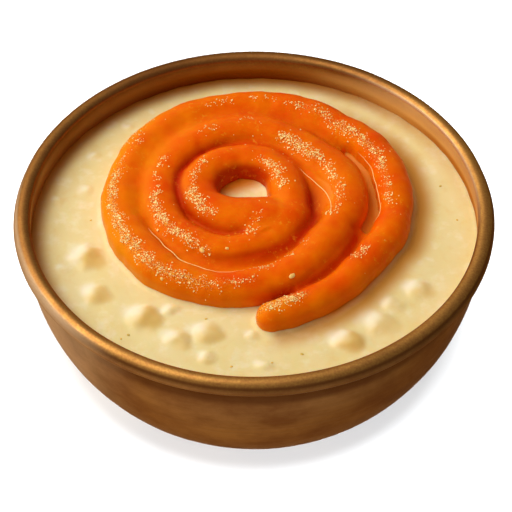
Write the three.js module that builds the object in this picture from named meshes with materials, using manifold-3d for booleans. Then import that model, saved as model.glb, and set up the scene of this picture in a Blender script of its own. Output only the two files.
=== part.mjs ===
// A jalebi served on rabri in a brass bowl.
//
// The bowl is a turned shell with a rolled rim. Rabri (milk boiled down until it
// thickens and clots) fills it to a little under the rim. The jalebi, one piped
// strand of fried batter coiled three times and soaked in syrup, lies in the cream
// and is sunk a little way into it.
//
// Millimetres, +Z up. The origin is the middle of the bowl's underside, and the
// front of the dish is towards -Y.

import * as THREE from 'three';
import { mergeVertices } from 'three/addons/utils/BufferGeometryUtils.js';
import Module from 'manifold-3d';

// ---------------------------------------------------------------- sizes

// Bowl
const BOWL_HEIGHT = 60;
const BASE_RADIUS = 42.5;
const WALL_THICKNESS = 2;
const NECK_RADIUS = 72; // outside of the wall where it meets the rim
const NECK_HEIGHT = 54;
const BASE_FLARE = 14; // how far the wall runs out level before it turns up
const BELLY_DROP = 25; // how far below the neck the wall keeps to its full width
const BELLY_SWELL = 2; // how far the wall leans outwards under the neck
const WALL_STEPS = 7; // steps from the base up to the neck
const BOWL_FACETS = 56;

// Rolled rim: a main bead with a smaller ridge under its outer edge. The degrees
// of each oval run from level outwards, up over its top.
const BEAD = { radius: 72, halfWidth: 2.3, halfHeight: 1.75, from: -5, to: 195, steps: 7 };
const RIDGE = { radius: 73.75, halfWidth: 1.25, halfHeight: 1.1, from: -125, to: 30, steps: 4 };
const BEAD_HEIGHT = BOWL_HEIGHT - BEAD.halfHeight;
const RIDGE_HEIGHT = BEAD_HEIGHT - 1.6;

// Rabri
const RABRI_LEVEL = 50;
const FIT_GAP = 0.4; // clearance between the rabri and what it touches
const RABRI_FACETS = 75;

// Radii of the rings that shape the cream's surface, close together where clots
// swell out of it and wide apart under the coil
const OUTERMOST_RING = 66;
const RING_PITCH = 3.3;
const CLOTTED_RINGS = 10;
const SUNKEN_RINGS = [26, 14];

// Clots of cream that swell out of the level: [x, y, radius, height]
const CLOTS = [
  [-51.2, -14.5, 7, 1.8],
  [-47.5, -29.6, 5.7, 1.3],
  [-33, -39.5, 7.1, 1.9],
  [-22, -48, 5.2, 1.1],
  [-13.6, -45.6, 5.8, 1.2],
  [-13.6, -55.3, 4, 0.8],
  [-24.7, -36, 3.8, 0.7],
  [28.2, -48.5, 6.4, 1.7],
  [37.8, -42.2, 6.4, 1],
  [42.8, -34, 4.4, 0.8],
  [50.8, -28.5, 5.4, 1],
  [3.2, -58.4, 3.6, 0.7],
];

// Jalebi
const COIL_CENTRE = [0, 12];
const STRAND_FLATNESS = 0.8; // height of the strand over its width
const STRAND_RISE = 2.8; // height of the strand's middle over the cream
const TURN_STEP = 45; // degrees between the distances below
const FRONT = -90; // bearing at which each turn starts, seen from above

// Distance of the strand's middle from the coil's centre, from the front of each
// turn round by the right, the back and the left
const OUTER_TURN = [54.2, 46.4, 45.2, 42, 41.6, 41.4, 41.8, 44.2];
const MIDDLE_TURN = [41.6, 31.9, 30.2, 25.5, 27.6, 28.8, 30.4, 29.7];
const INNER_TURN = [24.8, 16.4, 11, 11.4, 13.8, 16.1, 18.3, 15];
const CURLED_END = [12.6, 17.5];
const TAIL_START = 5.5; // degrees past the front where the loose tail begins
const CURL_FINISH = 1098; // degrees of turning at which the curled end stops

// Half the strand's width at each quarter turn, from the tail inwards
const HALF_WIDTHS = [4.5, 5.5, 5.5, 6.2, 5.9, 6.4, 6.6, 5.8, 5.1, 5.8, 6, 6.7, 7.8];
const WIDTH_STEP = 90;
const TALLEST = 6.4; // half width past which the strand gets no taller

// Low film of batter that closes the gap between a turn and the turn outside it.
// Each stretch is given by the degrees of turning of the inner of the two; where
// there is none, cream shows between the turns.
const FILM_STRETCHES = [[374, 427], [481, 1062]];
const FILM_HALF_HEIGHT = 1.9;
const FILM_RISE = 1.3; // height of the film's middle over the cream
const FILM_GRIP = 1.5; // how far the film reaches into the strand on either side

// Round fillings of batter where the curled end runs into the turn beside it:
// [x, y, radius, height over the cream]
const FILLINGS = [
  [7.4, 0.8, 4.6, 6.4],
  [1, -3.2, 4.6, 6.4],
];
const FILLING_SIDES = 9;
const FILLING_LAYERS = 4;

const END_ROUNDING = [30, 55, 75]; // degrees of the rings that round off an end
const STRAND_SIDES = 12;
const FILM_SIDES = 6;
const TURNING_STEP = 0.5; // degrees between the places looked at for a station
const STATION_PITCH = 4.6; // length of one step along the strand or the film
const PIECE_STEPS = 12; // steps in each stretch that is joined to the next

// Pale flakes stuck on the strand: [degrees of turning, part of the half width
// out from its middle, length, width]
const FLAKES = [
  [374, 0.55, 2.6, 1.7],
  [689, 0.73, 2.2, 1.6],
  [325, 0.8, 1.7, 1.4],
  [702, 0.43, 1.6, 1.3],
];
const FLAKE_HALF_THICKNESS = 0.55;
const FLAKE_SIDES = 7;
const FLAKE_LAYERS = 4;

// ---------------------------------------------------------------- solids

const wasm = await Module();
wasm.setup();

function toSolid(geometry) {
  const bare = geometry.clone();
  bare.deleteAttribute('normal');
  bare.deleteAttribute('uv');
  const merged = mergeVertices(bare, 1e-4);
  return new wasm.Manifold(new wasm.Mesh({
    numProp: 3,
    vertProperties: new Float32Array(merged.attributes.position.array),
    triVerts: new Uint32Array(merged.index.array),
  }));
}

function toGeometry(solid) {
  const mesh = solid.getMesh();
  const geometry = new THREE.BufferGeometry();
  geometry.setAttribute('position', new THREE.BufferAttribute(new Float32Array(mesh.vertProperties), 3));
  geometry.setIndex(new THREE.BufferAttribute(new Uint32Array(mesh.triVerts), 1));
  geometry.computeVertexNormals();
  return geometry;
}

// The main body of a solid, without any loose sliver that a join or a cut leaves
function mainBody(solid) {
  return solid.decompose().reduce((main, body) => (body.volume() > main.volume() ? body : main));
}

// A closed skin through rings of points, all with the same number of points, with
// a single point closing each end.
function skinRings(firstPoint, rings, lastPoint) {
  const sides = rings[0].length;
  const positions = [firstPoint, ...rings.flat(), lastPoint].flat();
  const last = 1 + rings.length * sides;
  const at = (ring, side) => 1 + ring * sides + (side % sides);
  const faces = [];
  for (let side = 0; side < sides; side++) {
    faces.push(0, at(0, side + 1), at(0, side));
    for (let ring = 0; ring + 1 < rings.length; ring++) {
      faces.push(at(ring, side), at(ring, side + 1), at(ring + 1, side + 1));
      faces.push(at(ring, side), at(ring + 1, side + 1), at(ring + 1, side));
    }
    faces.push(last, at(rings.length - 1, side), at(rings.length - 1, side + 1));
  }
  const geometry = new THREE.BufferGeometry();
  geometry.setAttribute('position', new THREE.Float32BufferAttribute(positions, 3));
  geometry.setIndex(faces);
  return geometry;
}

// ---------------------------------------------------------------- bowl

// Outside of the wall, from the edge of the base up to the neck
const WALL_CURVE = new THREE.CubicBezierCurve(
  new THREE.Vector2(BASE_RADIUS, 0),
  new THREE.Vector2(BASE_RADIUS + BASE_FLARE, 0),
  new THREE.Vector2(NECK_RADIUS + BELLY_SWELL, NECK_HEIGHT - BELLY_DROP),
  new THREE.Vector2(NECK_RADIUS, NECK_HEIGHT),
);

// The wall's curve moved inwards by a distance, from the bottom up
function wallPoints(inwards) {
  const points = [];
  for (let step = 0; step <= WALL_STEPS; step++) {
    const point = WALL_CURVE.getPoint(step / WALL_STEPS);
    const along = WALL_CURVE.getTangent(step / WALL_STEPS);
    points.push(new THREE.Vector2(point.x - along.y * inwards, point.y + along.x * inwards));
  }
  return points;
}

// The part of an oval that shows in the rim's section
function rimArc({ radius, halfWidth, halfHeight, from, to, steps }, height) {
  const points = [];
  for (let step = 0; step <= steps; step++) {
    const angle = THREE.MathUtils.degToRad(THREE.MathUtils.lerp(from, to, step / steps));
    points.push(new THREE.Vector2(
      radius + halfWidth * Math.cos(angle),
      height + halfHeight * Math.sin(angle),
    ));
  }
  return points;
}

function makeBowl() {
  const profile = [
    new THREE.Vector2(0, 0),
    ...wallPoints(0),
    ...rimArc(RIDGE, RIDGE_HEIGHT),
    ...rimArc(BEAD, BEAD_HEIGHT),
    ...wallPoints(WALL_THICKNESS).reverse(),
    new THREE.Vector2(0, WALL_THICKNESS),
  ];
  return new THREE.LatheGeometry(profile, BOWL_FACETS).rotateX(Math.PI / 2);
}

// ---------------------------------------------------------------- jalebi

const TURNS = [...OUTER_TURN, ...MIDDLE_TURN, ...INNER_TURN, ...CURLED_END];

// A smooth curve through evenly spaced values, read at any place along them
function smoothValue(values, place) {
  const index = Math.min(Math.max(Math.floor(place), 0), values.length - 2);
  const part = place - index;
  const value = (offset) => {
    const wanted = index + offset;
    if (wanted < 0) return 2 * values[0] - values[1];
    if (wanted >= values.length) return 2 * values[values.length - 1] - values[values.length - 2];
    return values[wanted];
  };
  const [before, from, to, after] = [value(-1), value(0), value(1), value(2)];
  return from + 0.5 * part * (to - before + part * (2 * before - 5 * from + 4 * to - after
    + part * (3 * (from - to) + after - before)));
}

function reachAt(turning) {
  return smoothValue(TURNS, turning / TURN_STEP);
}

// A point at some reach from the coil's centre, and some rise over the cream, after
// a number of degrees of turning from the front
function pointAt(turning, reach, rise) {
  const bearing = THREE.MathUtils.degToRad(FRONT + turning);
  return new THREE.Vector3(
    COIL_CENTRE[0] + reach * Math.cos(bearing),
    COIL_CENTRE[1] + reach * Math.sin(bearing),
    RABRI_LEVEL + rise,
  );
}

function strandMiddle(turning) {
  return pointAt(turning, reachAt(turning), STRAND_RISE);
}

function halfWidthAt(turning) {
  return smoothValue(HALF_WIDTHS, turning / WIDTH_STEP);
}

// The strand's oval after some turning: its middle, half width and half height
function strandOval(turning) {
  const halfWidth = halfWidthAt(turning);
  const halfHeight = Math.min(halfWidth, TALLEST) * STRAND_FLATNESS;
  return { middle: strandMiddle(turning), halfWidth, halfHeight };
}

// The film's oval between the turn there and the turn outside it
function filmOval(turning) {
  const innerEdge = reachAt(turning) + halfWidthAt(turning);
  const outerEdge = reachAt(turning - 360) - halfWidthAt(turning - 360);
  return {
    middle: pointAt(turning, (innerEdge + outerEdge) / 2, FILM_RISE),
    halfWidth: Math.max(outerEdge - innerEdge, 0) / 2 + FILM_GRIP,
    halfHeight: FILM_HALF_HEIGHT,
  };
}

// Stations at an even pitch along the strand or the film: the oval at each, and
// which way it runs
function stationsAlong(ovalAt, from, to) {
  const stations = [];
  let previous = null;
  for (let turning = from; turning <= to; turning += TURNING_STEP) {
    const oval = ovalAt(turning);
    if (previous === null || oval.middle.distanceTo(previous) >= STATION_PITCH) {
      const along = ovalAt(turning + 1).middle.sub(ovalAt(turning - 1).middle).normalize();
      stations.push({ ...oval, along });
      previous = oval.middle;
    }
  }
  return stations;
}

// The oval of one station, made larger all round by a margin, and drawn in and
// moved on along the strand for its rounded ends
function stationRing(station, sides, margin, drawnIn = 1, movedOn = 0) {
  const { middle, along, halfWidth, halfHeight } = station;
  const outwards = new THREE.Vector3(along.y, -along.x, 0);
  const ring = [];
  for (let side = 0; side < sides; side++) {
    const angle = (-2 * Math.PI * side) / sides;
    const across = drawnIn * (halfWidth + margin) * Math.cos(angle);
    const up = drawnIn * (halfHeight + margin) * Math.sin(angle);
    const point = middle.clone()
      .addScaledVector(along, movedOn)
      .addScaledVector(outwards, across);
    ring.push([point.x, point.y, point.z + up]);
  }
  return ring;
}

// Rings that round off one end of a strand, from its full oval outwards
function endRings(station, sides, margin, direction) {
  return END_ROUNDING.map((degrees) => {
    const angle = THREE.MathUtils.degToRad(degrees);
    const reach = (station.halfWidth + margin) * Math.sin(angle);
    return stationRing(station, sides, margin, Math.cos(angle), direction * reach);
  });
}

function endTip(station, margin, direction) {
  return station.middle.clone()
    .addScaledVector(station.along, direction * (station.halfWidth + margin))
    .toArray();
}

// One solid along the stations. It is made in stretches that meet face to face and
// are then joined, because neighbouring turns of the coil press into each other.
function sweep(stations, sides, margin) {
  let strand = null;
  const finish = stations.length - 1;
  for (let first = 0; first < finish; first += PIECE_STEPS) {
    const last = Math.min(first + PIECE_STEPS, finish);
    const rings = stations.slice(first, last + 1).map((station) => stationRing(station, sides, margin));
    let startPoint = stations[first].middle.toArray();
    let finishPoint = stations[last].middle.toArray();
    if (first === 0) {
      rings.unshift(...endRings(stations[0], sides, margin, -1).reverse());
      startPoint = endTip(stations[0], margin, -1);
    }
    if (last === finish) {
      rings.push(...endRings(stations[last], sides, margin, 1));
      finishPoint = endTip(stations[last], margin, 1);
    }
    const stretch = toSolid(skinRings(startPoint, rings, finishPoint));
    strand = strand ? strand.add(stretch) : stretch;
  }
  return strand;
}

function makeFlake([turning, outPart, length, width]) {
  const halfWidth = halfWidthAt(turning);
  const along = strandMiddle(turning + 1).sub(strandMiddle(turning - 1)).normalize();
  const outwards = new THREE.Vector3(along.y, -along.x, 0);
  const crown = halfWidth * STRAND_FLATNESS * Math.sqrt(1 - outPart * outPart);
  const place = strandMiddle(turning).addScaledVector(outwards, outPart * halfWidth);
  const flake = new THREE.SphereGeometry(1, FLAKE_SIDES, FLAKE_LAYERS);
  flake.rotateX(Math.PI / 2);
  flake.scale(length / 2, width / 2, FLAKE_HALF_THICKNESS);
  flake.rotateZ(THREE.MathUtils.degToRad(turning));
  flake.translate(place.x, place.y, place.z + crown);
  return toSolid(flake);
}

function makeFilling([x, y, radius, height], margin) {
  const filling = new THREE.SphereGeometry(1, FILLING_SIDES, FILLING_LAYERS);
  filling.rotateX(Math.PI / 2);
  filling.scale(radius + margin, radius + margin, height + margin);
  filling.translate(x, y, RABRI_LEVEL);
  return toSolid(filling);
}

// The coil with its films and fillings of batter, larger all round by a margin
function coilSolid(margin) {
  let coil = sweep(stationsAlong(strandOval, TAIL_START, CURL_FINISH), STRAND_SIDES, margin);
  for (const [from, to] of FILM_STRETCHES) {
    coil = coil.add(sweep(stationsAlong(filmOval, from, to), FILM_SIDES, margin));
  }
  for (const filling of FILLINGS) {
    coil = coil.add(makeFilling(filling, margin));
  }
  return coil;
}

function makeJalebi() {
  let jalebi = coilSolid(0);
  for (const flake of FLAKES) {
    jalebi = jalebi.add(makeFlake(flake));
  }
  return toGeometry(mainBody(jalebi));
}

// ---------------------------------------------------------------- rabri

// Height of the cream over its level: rounded clots, each fading out at its edge
function reliefAt(x, y) {
  let relief = 0;
  for (const [clotX, clotY, radius, height] of CLOTS) {
    const share = Math.min(Math.hypot(x - clotX, y - clotY) / radius, 1);
    relief = Math.max(relief, height * (1 - share * share) ** 2);
  }
  return relief;
}

function levelRing(radius, heightAt) {
  const ring = [];
  for (let facet = 0; facet < RABRI_FACETS; facet++) {
    const angle = (2 * Math.PI * facet) / RABRI_FACETS;
    const x = radius * Math.cos(angle);
    const y = radius * Math.sin(angle);
    ring.push([x, y, heightAt(x, y)]);
  }
  return ring;
}

function makeRabri() {
  const inside = wallPoints(WALL_THICKNESS + FIT_GAP);
  const above = inside.findIndex((point) => point.y > RABRI_LEVEL);
  const below = inside[above - 1];
  const part = (RABRI_LEVEL - below.y) / (inside[above].y - below.y);
  const brim = below.clone().lerp(inside[above], part);
  const under = [...inside.slice(0, above), brim].map((point) => levelRing(point.x, () => point.y));
  const surface = [];
  for (let ring = 0; ring < CLOTTED_RINGS; ring++) {
    const radius = OUTERMOST_RING - ring * RING_PITCH;
    surface.push(levelRing(radius, (x, y) => RABRI_LEVEL + reliefAt(x, y)));
  }
  for (const radius of SUNKEN_RINGS) {
    surface.push(levelRing(radius, () => RABRI_LEVEL));
  }
  const skin = skinRings([0, 0, inside[0].y], [...under, ...surface], [0, 0, RABRI_LEVEL]);
  return toGeometry(mainBody(toSolid(skin).subtract(coilSolid(FIT_GAP))));
}

// ---------------------------------------------------------------- the dish

const brass = new THREE.MeshStandardMaterial({ color: 0x8c5a24, roughness: 0.42, metalness: 0.9 });
const cream = new THREE.MeshStandardMaterial({ color: 0xf0dba2, roughness: 0.35, metalness: 0 });
const syrup = new THREE.MeshStandardMaterial({ color: 0xe65a06, roughness: 0.22, metalness: 0 });

function named(name, geometry, material) {
  const mesh = new THREE.Mesh(geometry, material);
  mesh.name = name;
  return mesh;
}

const dish = new THREE.Group();
dish.add(
  named('bowl', makeBowl(), brass),
  named('rabri', makeRabri(), cream),
  named('jalebi', makeJalebi(), syrup),
);

export default dish;
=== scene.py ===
"""Dresses a jalebi on rabri in a brass bowl, around the dish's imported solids.

Run as a script, it makes every visible piece, the stage and the camera. Lengths in
the settings are metres. Lengths in the constants and the mesh code are millimetres
in the dish's own frame: the origin is the middle of the bowl's underside, +Z is up
and -Y is the front, where the coil's loose tail lies.
"""

import math

import bpy
import numpy as np
from bpy.props import FloatProperty, FloatVectorProperty, IntProperty, PointerProperty
from mathutils import Matrix, Vector, noise
from mathutils.bvhtree import BVHTree


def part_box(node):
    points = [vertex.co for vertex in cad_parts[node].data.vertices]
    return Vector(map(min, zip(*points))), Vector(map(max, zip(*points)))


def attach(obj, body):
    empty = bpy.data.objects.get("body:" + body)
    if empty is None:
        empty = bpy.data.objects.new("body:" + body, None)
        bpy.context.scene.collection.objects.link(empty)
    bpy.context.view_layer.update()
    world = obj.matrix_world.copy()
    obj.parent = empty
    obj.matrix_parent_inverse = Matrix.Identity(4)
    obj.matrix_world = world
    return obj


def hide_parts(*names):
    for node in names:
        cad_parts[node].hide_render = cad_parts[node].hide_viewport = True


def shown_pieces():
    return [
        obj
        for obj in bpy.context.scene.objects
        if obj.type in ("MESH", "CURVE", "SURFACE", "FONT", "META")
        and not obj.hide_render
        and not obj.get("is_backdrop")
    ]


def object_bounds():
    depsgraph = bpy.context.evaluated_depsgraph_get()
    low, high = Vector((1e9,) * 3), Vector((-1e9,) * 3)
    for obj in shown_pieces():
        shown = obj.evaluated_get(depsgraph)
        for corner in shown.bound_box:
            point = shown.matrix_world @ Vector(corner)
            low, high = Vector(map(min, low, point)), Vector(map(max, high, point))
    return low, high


bl_info = {
    "name": "Jalebi Dish",
    "version": (1, 0, 0),
    "blender": (4, 5, 0),
    "location": "View3D > Sidebar > Jalebi Dish",
    "description": "Dresses a jalebi served on rabri in a brass bowl",
    "category": "Object",
}

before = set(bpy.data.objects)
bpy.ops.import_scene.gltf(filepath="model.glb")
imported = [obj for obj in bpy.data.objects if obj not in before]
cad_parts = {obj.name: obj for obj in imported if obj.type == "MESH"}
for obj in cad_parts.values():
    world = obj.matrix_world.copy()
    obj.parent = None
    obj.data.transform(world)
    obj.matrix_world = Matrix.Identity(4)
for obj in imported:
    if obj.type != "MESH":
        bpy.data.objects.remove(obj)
CAD_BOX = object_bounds()

MM = 0.001
BODY = "root"

# ---- bowl sizes

BOWL_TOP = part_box("bowl")[1] / MM
RIM_REACH = BOWL_TOP.x
BOWL_HEIGHT = BOWL_TOP.z
BASE_RADIUS = 42.5
BASE_FLARE = 14.0
NECK_RADIUS = RIM_REACH - 3.0
NECK_HEIGHT = BOWL_HEIGHT - 6.0
BELLY_DROP, BELLY_SWELL = 25.0, 2.0  # where the wall's curve is drawn to, at its neck
WALL_POINTS = 40
BOWL_SEGMENTS = 288
FLOOR_RINGS = np.linspace(0.97, 0.12, 9)  # rings of the base, as parts of its radius

# Ovals of the rim's section: distance in from the rim's reach, drop below the top,
# half width, half height, first and last degrees, and how many steps
BEAD = (3.0, 1.75, 2.3, 1.75, -5.0, 195.0, 22)
RIDGE = (1.25, 3.35, 1.25, 1.1, -125.0, 30.0, 12)

# Stretches round the bowl that carry painted light and shade on the brass: the bearing
# of the middle from +X, how far from it the stretch ends, how far from it the stretch
# is full, and strength
STRETCHES = {
    # Painted shade: back lip, front lip, back bead, left bead, right wall, front wall,
    # inside wall. Painted sheen and highlight: left lip, right lip, left wall, inside
    # neck.
    "back lip": (140, 85, 60, 0.5),
    "front lip": (265, 110, 70, 0.8),
    "left lip": (196, 44, 18, 1.0),
    "right lip": (26, 42, 18, 0.8),
    "back bead": (90, 60, 25, 0.6),
    "left bead": (160, 80, 35, 1.0),
    "left wall": (194, 50, 14, 1.0),
    "right wall": (330, 55, 25, 0.25),
    "front wall": (290, 80, 60, 1.0),
    "inside neck": (28, 48, 25, 1.0),
    "inside wall": (17, 38, 12, 1.0),
}
WALL_SHADE = 0.1  # how much painted shade darkens the outer wall at the front, apart from the stretches
UNDER_RIDGE = (7.0, 3.0)  # below the neck, where its painted shade line starts and is full
STRAY_WAVE = 19.0  # how long the waves are by which the bowl is out of round
STRAY_FROM = 8.0  # the height from which it is fully so

# ---- cream sizes

CREAM_BITE = 0.35  # how far the cream reaches into the wall
CREAM_SEGMENTS = 420
OPEN_RINGS = 62  # rings between the coil and the wall
SUNKEN_RINGS = 26  # rings under the coil
COIL_FOOT = 32.0  # radius inside which the cream is mostly covered
BRIM_DROP = 0.6  # how far under its level the cream leaves the wall

# Clots that swell out of the cream: x, y, radius, height
CLOTS = [
    (-51.2, -14.5, 5.8, 1.7),
    (-47.5, -29.6, 4.8, 1.3),
    (-33.0, -39.5, 6.0, 1.8),
    (-22.0, -48.0, 4.4, 1.1),
    (-13.6, -45.6, 4.9, 1.2),
    (-13.6, -55.3, 3.0, 0.8),
    (-24.7, -36.0, 2.8, 0.7),
    (0.0, -46.5, 2.8, 0.5),
    (28.2, -48.5, 5.4, 1.6),
    (37.8, -42.2, 5.4, 0.9),
    (42.8, -34.0, 3.5, 0.7),
    (50.8, -28.5, 4.5, 1.0),
    (3.2, -58.4, 2.7, 0.6),
    (-58.5, -19.5, 2.2, 0.4),
    (-52.0, 31.0, 2.2, 0.4),
    (-54.5, 15.5, 2.6, 0.4),
    (-62.0, 10.5, 2.0, 0.4),
    (-41.5, 45.5, 2.0, 0.4),
]
CLOT_FACING = (-0.87, 0.5)  # the way the clots' sides with painted highlight face, towards the key light; their far sides carry painted shade
CLOT_STRAY = ((5.0, 1.5), (2.6, 0.5))  # how far the clots' outlines stray, by wave
COIL_SHADOW_REACH = 9.5  # how far the painted shadow of the coil reaches on the cream beside it
COIL_SHADOW_SIDE = (0.97, -0.22)  # the side of the strand on which the painted shadow falls, away from the key light
HOLE = (-2.5, 15.0)  # the cream that shows in the coil's hole
HOLE_REACH = (12.0, 10.5)  # how far from there it ends, and is whole
HOLE_SHADED = (-13.5, -21.0)  # from its lit front right to its shaded back left, where painted shade lies
WALL_SHADOW_SIDE = (-0.8, 0.6)  # the side of the bowl from which the wall's painted shadow falls most on the cream
MENISCUS = 0.5  # how far the cream climbs at the coil
CLING = 0.35  # how far it climbs at the wall
MENISCUS_REACH, CLING_REACH = 1.6, 2.2  # how far from there it starts to climb
SWELLS = ((0.22, 11.0, 2), (0.10, 4.5, 3))  # height, wavelength and seed

# ---- coil sizes

COIL_CENTRE = (0.0, 12.0)
FRONT = -90.0  # bearing at which the turning starts
TURN_STEP = 45.0
# How far the strand's middle is from the coil's centre, at every step of turning
OUTER_TURN = [54.2, 46.4, 45.2, 42, 41.6, 41.4, 41.8, 44.2]
MIDDLE_TURN = [41.6, 31.9, 30.2, 25.5, 27.6, 28.8, 30.4, 29.7]
INNER_TURN = [24.8, 16.4, 11.0, 11.4, 13.8, 16.1, 18.3, 15.0]
CURLED_END = [12.1, 17.0]
TURNS = OUTER_TURN + MIDDLE_TURN + INNER_TURN + CURLED_END
TAIL_START, CURL_FINISH = 5.5, 1098.0  # turning at the strand's two ends
HALF_WIDTHS = [4.5, 5.5, 5.5, 6.2, 5.9, 6.4, 6.6, 5.8, 5.1, 5.8, 6, 6.7, 8.3]
WIDTH_STEP = 90.0  # degrees of turning between two half widths
STRAND_RISE = 2.8  # how far the strand's widest part is over the cream's level
TALLEST = 6.4  # half width past which the strand gets no taller
FULL_TURN = 360.0
NEXT_TURN = 150.0  # degrees past which a stretch of strand counts as another turn
TURN_SLACK = 75  # degrees by which neighbouring turns may miss a full turn

# Films of batter between a turn and the turn outside it: degrees of turning of the
# inner one, height beside it, height at the film's lip, how far out the lip is, and how
# strong the painted deep red shade is in the fold there
FILMS = [
    (362, -2.5, -2.5, 3.0, 0.0),
    (366, -2.5, -2.5, 3.0, 0.9),
    (374, 4.8, 2.4, 3.0, 0.9),
    (398, 4.8, 2.0, 3.0, 0.8),
    (416, 4.2, 1.8, 2.5, 0.9),
    (424, 2.2, 1.2, 2.0, 0.4),
    (430, -2.5, -2.5, 2.0, 0.1),
    (476, -2.5, -2.5, 2.0, 0.0),
    (482, 2.4, 2.4, 2.0, 0.1),
    (494, 4.6, 4.6, 2.0, 0.35),
    (540, 5.6, 5.6, 2.0, 0.25),
    (600, 6.6, 6.6, 2.0, 0.0),
    (645, 6.2, 6.2, 2.0, 0.0),
    (662, 4.4, 4.2, 2.0, 0.1),
    (700, 4.0, 3.6, 3.0, 0.5),
    (722, 5.0, 3.0, 4.0, 0.9),
    (750, 4.0, 2.4, 5.3, 1.0),
    (770, 2.6, 3.4, 6.2, 1.0),
    (785, 2.2, 5.0, 6.8, 1.0),
    (800, 2.6, 5.5, 6.0, 0.8),
    (815, 3.6, 5.6, 4.0, 0.45),
    (830, 4.6, 5.6, 2.6, 0.3),
    (845, 5.2, 5.2, 1.5, 0.3),
    (915, 5.0, 5.0, 1.5, 0.5),
    (935, 4.2, 4.2, 1.5, 0.9),
    (950, 3.6, 3.6, 1.5, 1.0),
    (1000, 2.8, 2.8, 1.5, 1.0),
    (1035, 3.2, 3.2, 1.5, 1.0),
    (1062, 4.6, 4.6, 1.5, 0.9),
    (1076, 6.2, 6.2, 1.5, 0.6),
    (1098, 6.8, 6.8, 1.5, 0.0),
]
FILM_GRIP = 2.4  # how far a film reaches into the strand on either side
NO_FILM = 10.0  # distance given where there is no film
TURN_BLEND, FILM_BLEND, FILLING_BLEND = 1.5, 1.3, 2.0  # how softly parts join
FOOT_DEPTH = 2.6  # how far the coil's foot goes down into the cream

# Round fillings where the curled end runs into the turn beside it: x, y, radius, top
FILLINGS = [(7.4, 0.8, 4.6, 6.4), (1.0, -3.2, 4.6, 6.4)]

CREASE_SPREADS = (4.4, 2.2)  # how far the painted deep red shade line between two turns spreads
ROUND_HOLE = ((790, 870), (1080, 1050))  # turning along which the hole's inner side carries deep painted shade
LIT_GLOW_SIDE = (-1.0, 0.05)  # the side, towards the key light, where the outer turn carries a painted amber glow

COIL_PITCH = 0.5  # size of the coil's cells
COIL_MARGIN = 2.5  # how far past the strand its field goes
FIELD_LOW, FIELD_HIGH = -3.2, 9.0  # what the field of the coil covers, over the level
LUMPS = ((0.16, 5.0, 5), (0.09, 2.2, 6))  # height, wavelength and seed
CRINKLE = (0.16, 0.9, 7)  # the same, where sugar has set
CENTRE_STEP = 0.6  # distance between the strand's stations
COLUMNS_AT_ONCE = 2000  # places compared with the strand in one go, to save memory

# Sugar that has set on the strand: degrees of turning from and to, part of the
# half width out from its middle, spread of that part, and grains
SUGAR_BANDS = [
    (4, 18, -0.25, 0.22, 230),
    (43, 52, -0.37, 0.15, 45),
    (78, 100, -0.43, 0.13, 95),
    (100, 140, -0.42, 0.15, 330),
    (140, 160, -0.25, 0.20, 85),
    (160, 205, -0.18, 0.15, 60),
    (225, 247, 0.72, 0.10, 65),
    (238, 262, 0.28, 0.14, 45),
    (262, 300, 0.43, 0.14, 350),
    (300, 344, 0.42, 0.18, 400),
    (344, 360, 0.20, 0.20, 45),
    (361, 372, -0.62, 0.14, 35),
    (380, 400, -0.67, 0.12, 20),
    (420, 440, -0.32, 0.18, 50),
    (440, 480, -0.51, 0.10, 135),
    (480, 519, -0.43, 0.15, 300),
    (540, 580, 0.00, 0.17, 40),
    (600, 640, 0.20, 0.10, 75),
    (640, 680, 0.42, 0.15, 310),
    (680, 694, 0.60, 0.15, 65),
    (714, 728, -0.70, 0.08, 40),
    (800, 840, -0.44, 0.18, 75),
    (840, 888, -0.40, 0.08, 110),
    (958, 1000, 0.10, 0.14, 90),
    (996, 1018, 0.40, 0.15, 150),
    (1014, 1036, 0.54, 0.10, 110),
    (1080, 1096, 0.40, 0.20, 15),
]
CLUMP_GRAINS = 5  # grains to one clump
CLUMP_SPREAD = 0.75
STRAY_GRAINS = 40  # grains outside the bands
LOWEST_GRAIN = 0.8  # over the cream
LEAN, SIZE_SPREAD = 0.28, 0.32  # how unevenly the grains lean and are sized
CRYSTAL_SHAPES = ((0.38, 0.38, 0.2), (0.75, 0.75, 0.45))  # least and most half sizes

# Pale flakes: degrees of turning, part of the half width out, length, width
FLAKES = [
    (374, 0.55, 2.2, 1.4),
    (689, 0.73, 1.9, 1.3),
    (325, 0.80, 1.2, 0.9),
    (702, 0.43, 1.2, 0.9),
]
FLAKE_THICKNESS = 0.5

# Thin pale threads of syrup set along an edge of the strand, partly painted highlight
# lines: degrees of turning from and to, part of the half width out, and half width
SYRUP_EDGES = [(299, 358, -0.93, 0.22), (68, 118, -0.97, 0.13)]
# The pale thread along the lip of the widest film, partly a painted highlight line: x
# and y, from its back to its front
SYRUP_LIP = [
    (14.3, 20.2), (18.3, 15.8), (22.5, 10.0),
    (24.0, 5.3), (24.1, 0.6), (23.7, -2.7),
]
SYRUP_LIP_LENGTH = 26
SYRUP_LIP_WIDTH = 0.14
THREAD_SIDES = 6
THREAD_PITCH = 0.5
DEGREE_LENGTH = 0.7  # about how long a degree of the strand is
THREAD_LIFT = 0.05  # how far over the skin the threads' middle is

# Crumbs of nut and saffron on the cream: x, y, length, colour
SPECKS = [
    (-37.5, -46.1, 1.1, "olive"),
    (-39.6, -47.7, 0.8, "straw"),
    (-14.5, -39.8, 0.9, "straw"),
    (5.2, -57.1, 0.9, "straw"),
    (14.1, -53.8, 1.1, "olive"),
    (-6.7, -58.5, 0.9, "straw"),
    (60.0, 17.4, 1.1, "olive"),
    (64.2, 2.0, 0.9, "straw"),
    (-51.7, 2.0, 0.8, "straw"),
]
SPECK_THICKNESS = 0.35
CRUMB_SIDES, CRUMB_LAYERS = 12, 7

# ---- view

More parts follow.
